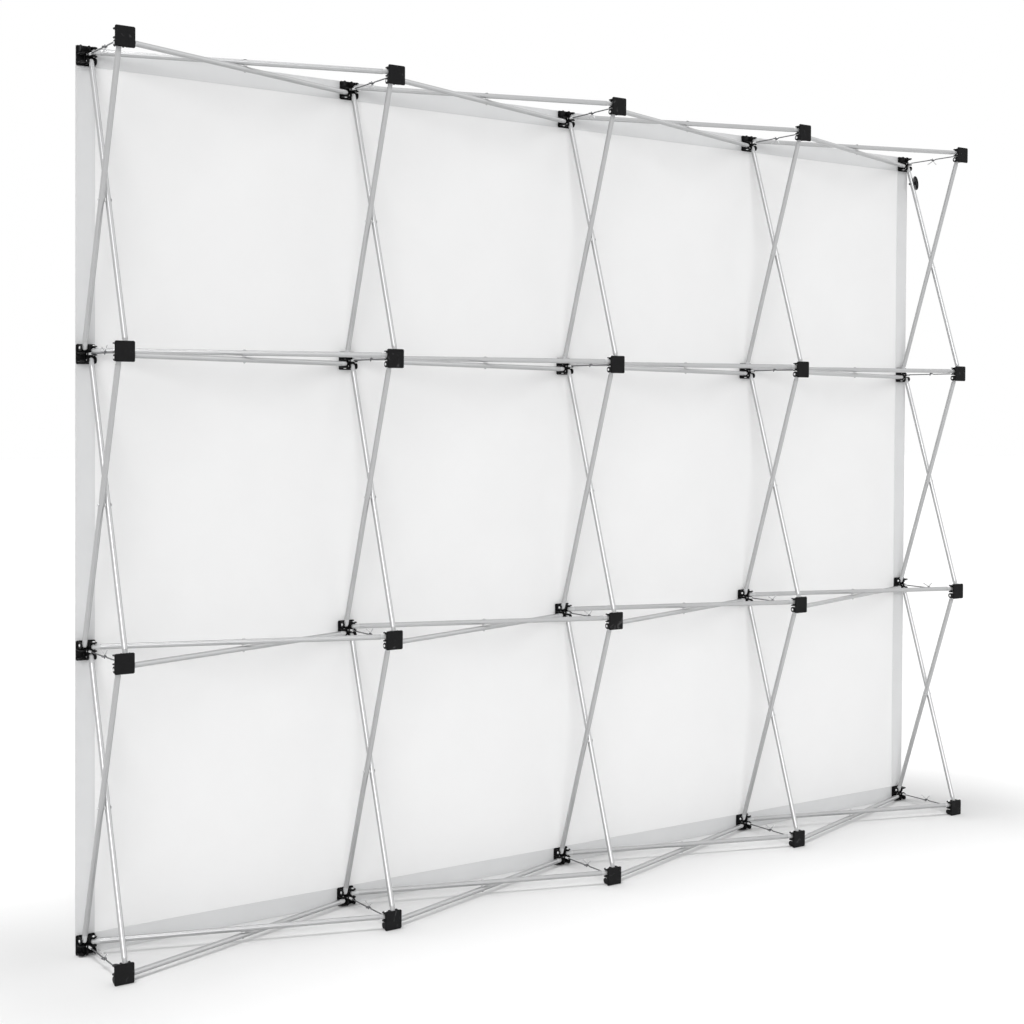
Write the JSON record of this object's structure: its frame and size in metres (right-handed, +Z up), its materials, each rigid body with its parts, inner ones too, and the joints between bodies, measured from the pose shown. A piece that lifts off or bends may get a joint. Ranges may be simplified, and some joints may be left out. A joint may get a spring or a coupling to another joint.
{
  "type": "pop up display backwall",
  "caption": "Straight pop up backwall: scissor frame of thin silver tubes and black moulded hubs with hook and ring locks, and a plain white fabric held flat on its front.",
  "frame": {"origin": "on the floor, under the middle of the whole object", "axes": "+X along the wall, to the right as seen from its open back; +Y out through the fabric side; +Z up"},
  "size_m": [3.0192, 0.271, 2.27],
  "materials": {
    "hub_plastic": "satin black moulded plastic",
    "tube_aluminium": "satin silver anodised",
    "plug_plastic": "light grey moulded plastic",
    "pin_steel": "bright plated steel",
    "rivet_steel": "bright plated steel",
    "washer_plastic": "white plastic",
    "hook_tape": "dark grey hook tape",
    "graphic_fabric": "plain white woven",
    "loop_tape": "light grey loop tape",
    "button_plastic": "glossy black plastic",
    "lock_steel": "dark zinc plated steel",
    "bolt_steel": "black plated steel"
  },
  "bodies": {
    "frame": {"back_hubs": "hub_plastic", "front_hubs": "hub_plastic", "rail_tubes_a": "tube_aluminium", "rail_tubes_b": "tube_aluminium", "upright_tubes_a": "tube_aluminium", "upright_tubes_b": "tube_aluminium", "rail_tube_ends": "plug_plastic", "upright_tube_ends": "plug_plastic", "hub_pins": "pin_steel", "rail_rivets": "rivet_steel", "upright_rivets": "rivet_steel", "rail_washers": "washer_plastic", "upright_washers": "washer_plastic", "back_hook_pads": "hook_tape", "front_hook_pads": "hook_tape", "lock_pins": "pin_steel", "graphic_cloth": "graphic_fabric", "loop_border": "loop_tape", "strap_button": "button_plastic", "button_bolt": "bolt_steel"},
    "hook_arm_c1r1": {"hook_arm_c1r1": "lock_steel"},
    "eye_arm_c1r1": {"eye_arm_c1r1": "lock_steel"},
    "hook_arm_c1r2": {"hook_arm_c1r2": "lock_steel"},
    "eye_arm_c1r2": {"eye_arm_c1r2": "lock_steel"},
    "hook_arm_c1r3": {"hook_arm_c1r3": "lock_steel"},
    "eye_arm_c1r3": {"eye_arm_c1r3": "lock_steel"},
    "hook_arm_c1r4": {"hook_arm_c1r4": "lock_steel"},
    "eye_arm_c1r4": {"eye_arm_c1r4": "lock_steel"},
    "hook_arm_c2r1": {"hook_arm_c2r1": "lock_steel"},
    "eye_arm_c2r1": {"eye_arm_c2r1": "lock_steel"},
    "hook_arm_c2r2": {"hook_arm_c2r2": "lock_steel"},
    "eye_arm_c2r2": {"eye_arm_c2r2": "lock_steel"},
    "hook_arm_c2r3": {"hook_arm_c2r3": "lock_steel"},
    "eye_arm_c2r3": {"eye_arm_c2r3": "lock_steel"},
    "hook_arm_c2r4": {"hook_arm_c2r4": "lock_steel"},
    "eye_arm_c2r4": {"eye_arm_c2r4": "lock_steel"},
    "hook_arm_c3r1": {"hook_arm_c3r1": "lock_steel"},
    "eye_arm_c3r1": {"eye_arm_c3r1": "lock_steel"},
    "hook_arm_c3r2": {"hook_arm_c3r2": "lock_steel"},
    "eye_arm_c3r2": {"eye_arm_c3r2": "lock_steel"},
    "hook_arm_c3r3": {"hook_arm_c3r3": "lock_steel"},
    "eye_arm_c3r3": {"eye_arm_c3r3": "lock_steel"},
    "hook_arm_c3r4": {"hook_arm_c3r4": "lock_steel"},
    "eye_arm_c3r4": {"eye_arm_c3r4": "lock_steel"},
    "hook_arm_c4r1": {"hook_arm_c4r1": "lock_steel"},
    "eye_arm_c4r1": {"eye_arm_c4r1": "lock_steel"},
    "hook_arm_c4r2": {"hook_arm_c4r2": "lock_steel"},
    "eye_arm_c4r2": {"eye_arm_c4r2": "lock_steel"},
    "hook_arm_c4r3": {"hook_arm_c4r3": "lock_steel"},
    "eye_arm_c4r3": {"eye_arm_c4r3": "lock_steel"},
    "hook_arm_c4r4": {"hook_arm_c4r4": "lock_steel"},
    "eye_arm_c4r4": {"eye_arm_c4r4": "lock_steel"},
    "hook_arm_c5r1": {"hook_arm_c5r1": "lock_steel"},
    "eye_arm_c5r1": {"eye_arm_c5r1": "lock_steel"},
    "hook_arm_c5r2": {"hook_arm_c5r2": "lock_steel"},
    "eye_arm_c5r2": {"eye_arm_c5r2": "lock_steel"},
    "hook_arm_c5r3": {"hook_arm_c5r3": "lock_steel"},
    "eye_arm_c5r3": {"eye_arm_c5r3": "lock_steel"},
    "hook_arm_c5r4": {"hook_arm_c5r4": "lock_steel"},
    "eye_arm_c5r4": {"eye_arm_c5r4": "lock_steel"}
  },
  "joints": [
    {"name": "hook_hinge_c1r1", "type": "hinge", "parent": "frame", "child": "hook_arm_c1r1", "pos_m": [-1.48463, -0.1119, 0.025], "axis": [1, 0, 0], "range_deg": [0, 55]},
    {"name": "eye_hinge_c1r1", "type": "hinge", "parent": "frame", "child": "eye_arm_c1r1", "pos_m": [-1.48463, 0.1101, 0.025], "axis": [1, 0, 0], "range_deg": [0, 55]},
    {"name": "hook_hinge_c1r2", "type": "hinge", "parent": "frame", "child": "hook_arm_c1r2", "pos_m": [-1.48463, -0.1119, 0.765], "axis": [1, 0, 0], "range_deg": [0, 55]},
    {"name": "eye_hinge_c1r2", "type": "hinge", "parent": "frame", "child": "eye_arm_c1r2", "pos_m": [-1.48463, 0.1101, 0.765], "axis": [1, 0, 0], "range_deg": [0, 55]},
    {"name": "hook_hinge_c1r3", "type": "hinge", "parent": "frame", "child": "hook_arm_c1r3", "pos_m": [-1.48463, -0.1119, 1.505], "axis": [1, 0, 0], "range_deg": [0, 55]},
    {"name": "eye_hinge_c1r3", "type": "hinge", "parent": "frame", "child": "eye_arm_c1r3", "pos_m": [-1.48463, 0.1101, 1.505], "axis": [1, 0, 0], "range_deg": [0, 55]},
    {"name": "hook_hinge_c1r4", "type": "hinge", "parent": "frame", "child": "hook_arm_c1r4", "pos_m": [-1.48463, -0.1119, 2.245], "axis": [1, 0, 0], "range_deg": [-55, 0]},
    {"name": "eye_hinge_c1r4", "type": "hinge", "parent": "frame", "child": "eye_arm_c1r4", "pos_m": [-1.48463, 0.1101, 2.245], "axis": [1, 0, 0], "range_deg": [-55, 0]},
    {"name": "hook_hinge_c2r1", "type": "hinge", "parent": "frame", "child": "hook_arm_c2r1", "pos_m": [-0.74463, -0.1119, 0.025], "axis": [1, 0, 0], "range_deg": [0, 55]},
    {"name": "eye_hinge_c2r1", "type": "hinge", "parent": "frame", "child": "eye_arm_c2r1", "pos_m": [-0.74463, 0.1101, 0.025], "axis": [1, 0, 0], "range_deg": [0, 55]},
    {"name": "hook_hinge_c2r2", "type": "hinge", "parent": "frame", "child": "hook_arm_c2r2", "pos_m": [-0.74463, -0.1119, 0.765], "axis": [1, 0, 0], "range_deg": [0, 55]},
    {"name": "eye_hinge_c2r2", "type": "hinge", "parent": "frame", "child": "eye_arm_c2r2", "pos_m": [-0.74463, 0.1101, 0.765], "axis": [1, 0, 0], "range_deg": [0, 55]},
    {"name": "hook_hinge_c2r3", "type": "hinge", "parent": "frame", "child": "hook_arm_c2r3", "pos_m": [-0.74463, -0.1119, 1.505], "axis": [1, 0, 0], "range_deg": [0, 55]},
    {"name": "eye_hinge_c2r3", "type": "hinge", "parent": "frame", "child": "eye_arm_c2r3", "pos_m": [-0.74463, 0.1101, 1.505], "axis": [1, 0, 0], "range_deg": [0, 55]},
    {"name": "hook_hinge_c2r4", "type": "hinge", "parent": "frame", "child": "hook_arm_c2r4", "pos_m": [-0.74463, -0.1119, 2.245], "axis": [1, 0, 0], "range_deg": [-55, 0]},
    {"name": "eye_hinge_c2r4", "type": "hinge", "parent": "frame", "child": "eye_arm_c2r4", "pos_m": [-0.74463, 0.1101, 2.245], "axis": [1, 0, 0], "range_deg": [-55, 0]},
    {"name": "hook_hinge_c3r1", "type": "hinge", "parent": "frame", "child": "hook_arm_c3r1", "pos_m": [-0.00463, -0.1119, 0.025], "axis": [1, 0, 0], "range_deg": [0, 55]},
    {"name": "eye_hinge_c3r1", "type": "hinge", "parent": "frame", "child": "eye_arm_c3r1", "pos_m": [-0.00463, 0.1101, 0.025], "axis": [1, 0, 0], "range_deg": [0, 55]},
    {"name": "hook_hinge_c3r2", "type": "hinge", "parent": "frame", "child": "hook_arm_c3r2", "pos_m": [-0.00463, -0.1119, 0.765], "axis": [1, 0, 0], "range_deg": [0, 55]},
    {"name": "eye_hinge_c3r2", "type": "hinge", "parent": "frame", "child": "eye_arm_c3r2", "pos_m": [-0.00463, 0.1101, 0.765], "axis": [1, 0, 0], "range_deg": [0, 55]},
    {"name": "hook_hinge_c3r3", "type": "hinge", "parent": "frame", "child": "hook_arm_c3r3", "pos_m": [-0.00463, -0.1119, 1.505], "axis": [1, 0, 0], "range_deg": [0, 55]},
    {"name": "eye_hinge_c3r3", "type": "hinge", "parent": "frame", "child": "eye_arm_c3r3", "pos_m": [-0.00463, 0.1101, 1.505], "axis": [1, 0, 0], "range_deg": [0, 55]},
    {"name": "hook_hinge_c3r4", "type": "hinge", "parent": "frame", "child": "hook_arm_c3r4", "pos_m": [-0.00463, -0.1119, 2.245], "axis": [1, 0, 0], "range_deg": [-55, 0]},
    {"name": "eye_hinge_c3r4", "type": "hinge", "parent": "frame", "child": "eye_arm_c3r4", "pos_m": [-0.00463, 0.1101, 2.245], "axis": [1, 0, 0], "range_deg": [-55, 0]},
    {"name": "hook_hinge_c4r1", "type": "hinge", "parent": "frame", "child": "hook_arm_c4r1", "pos_m": [0.73537, -0.1119, 0.025], "axis": [1, 0, 0], "range_deg": [0, 55]},
    {"name": "eye_hinge_c4r1", "type": "hinge", "parent": "frame", "child": "eye_arm_c4r1", "pos_m": [0.73537, 0.1101, 0.025], "axis": [1, 0, 0], "range_deg": [0, 55]},
    {"name": "hook_hinge_c4r2", "type": "hinge", "parent": "frame", "child": "hook_arm_c4r2", "pos_m": [0.73537, -0.1119, 0.765], "axis": [1, 0, 0], "range_deg": [0, 55]},
    {"name": "eye_hinge_c4r2", "type": "hinge", "parent": "frame", "child": "eye_arm_c4r2", "pos_m": [0.73537, 0.1101, 0.765], "axis": [1, 0, 0], "range_deg": [0, 55]},
    {"name": "hook_hinge_c4r3", "type": "hinge", "parent": "frame", "child": "hook_arm_c4r3", "pos_m": [0.73537, -0.1119, 1.505], "axis": [1, 0, 0], "range_deg": [0, 55]},
    {"name": "eye_hinge_c4r3", "type": "hinge", "parent": "frame", "child": "eye_arm_c4r3", "pos_m": [0.73537, 0.1101, 1.505], "axis": [1, 0, 0], "range_deg": [0, 55]},
    {"name": "hook_hinge_c4r4", "type": "hinge", "parent": "frame", "child": "hook_arm_c4r4", "pos_m": [0.73537, -0.1119, 2.245], "axis": [1, 0, 0], "range_deg": [-55, 0]},
    {"name": "eye_hinge_c4r4", "type": "hinge", "parent": "frame", "child": "eye_arm_c4r4", "pos_m": [0.73537, 0.1101, 2.245], "axis": [1, 0, 0], "range_deg": [-55, 0]},
    {"name": "hook_hinge_c5r1", "type": "hinge", "parent": "frame", "child": "hook_arm_c5r1", "pos_m": [1.47537, -0.1119, 0.025], "axis": [1, 0, 0], "range_deg": [0, 55]},
    {"name": "eye_hinge_c5r1", "type": "hinge", "parent": "frame", "child": "eye_arm_c5r1", "pos_m": [1.47537, 0.1101, 0.025], "axis": [1, 0, 0], "range_deg": [0, 55]},
    {"name": "hook_hinge_c5r2", "type": "hinge", "parent": "frame", "child": "hook_arm_c5r2", "pos_m": [1.47537, -0.1119, 0.765], "axis": [1, 0, 0], "range_deg": [0, 55]},
    {"name": "eye_hinge_c5r2", "type": "hinge", "parent": "frame", "child": "eye_arm_c5r2", "pos_m": [1.47537, 0.1101, 0.765], "axis": [1, 0, 0], "range_deg": [0, 55]},
    {"name": "hook_hinge_c5r3", "type": "hinge", "parent": "frame", "child": "hook_arm_c5r3", "pos_m": [1.47537, -0.1119, 1.505], "axis": [1, 0, 0], "range_deg": [0, 55]},
    {"name": "eye_hinge_c5r3", "type": "hinge", "parent": "frame", "child": "eye_arm_c5r3", "pos_m": [1.47537, 0.1101, 1.505], "axis": [1, 0, 0], "range_deg": [0, 55]},
    {"name": "hook_hinge_c5r4", "type": "hinge", "parent": "frame", "child": "hook_arm_c5r4", "pos_m": [1.47537, -0.1119, 2.245], "axis": [1, 0, 0], "range_deg": [-55, 0]},
    {"name": "eye_hinge_c5r4", "type": "hinge", "parent": "frame", "child": "eye_arm_c5r4", "pos_m": [1.47537, 0.1101, 2.245], "axis": [1, 0, 0], "range_deg": [-55, 0]}
  ]
}
